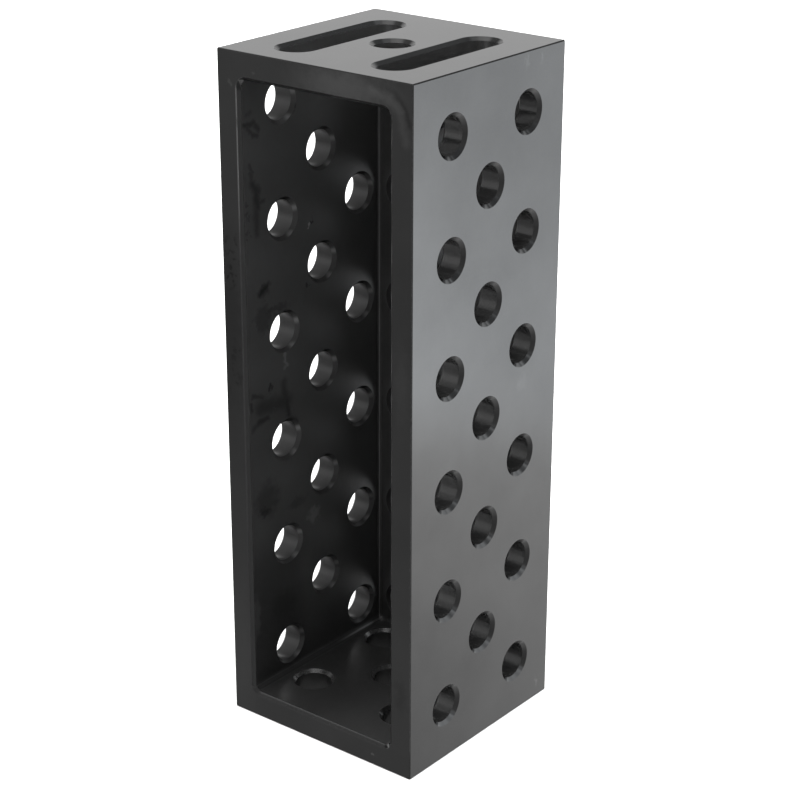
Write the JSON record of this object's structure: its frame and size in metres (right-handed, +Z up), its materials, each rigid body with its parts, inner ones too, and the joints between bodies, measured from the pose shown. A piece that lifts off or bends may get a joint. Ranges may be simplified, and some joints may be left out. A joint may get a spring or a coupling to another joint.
{
  "type": "riser block",
  "caption": "Tall hollow riser block for a modular clamping table: open on one side, with a grid of holes in its walls and slots in its top.",
  "frame": {"origin": "centre of the bottom face", "axes": "+Z up along the block's length; -Y out of the open front; X across the open front"},
  "size_m": [0.1, 0.1, 0.3],
  "materials": {
    "riser_block": "satin black oxide on machined faces, rougher inside"
  },
  "bodies": {
    "root": {"riser_block": "riser_block"}
  },
  "joints": []
}
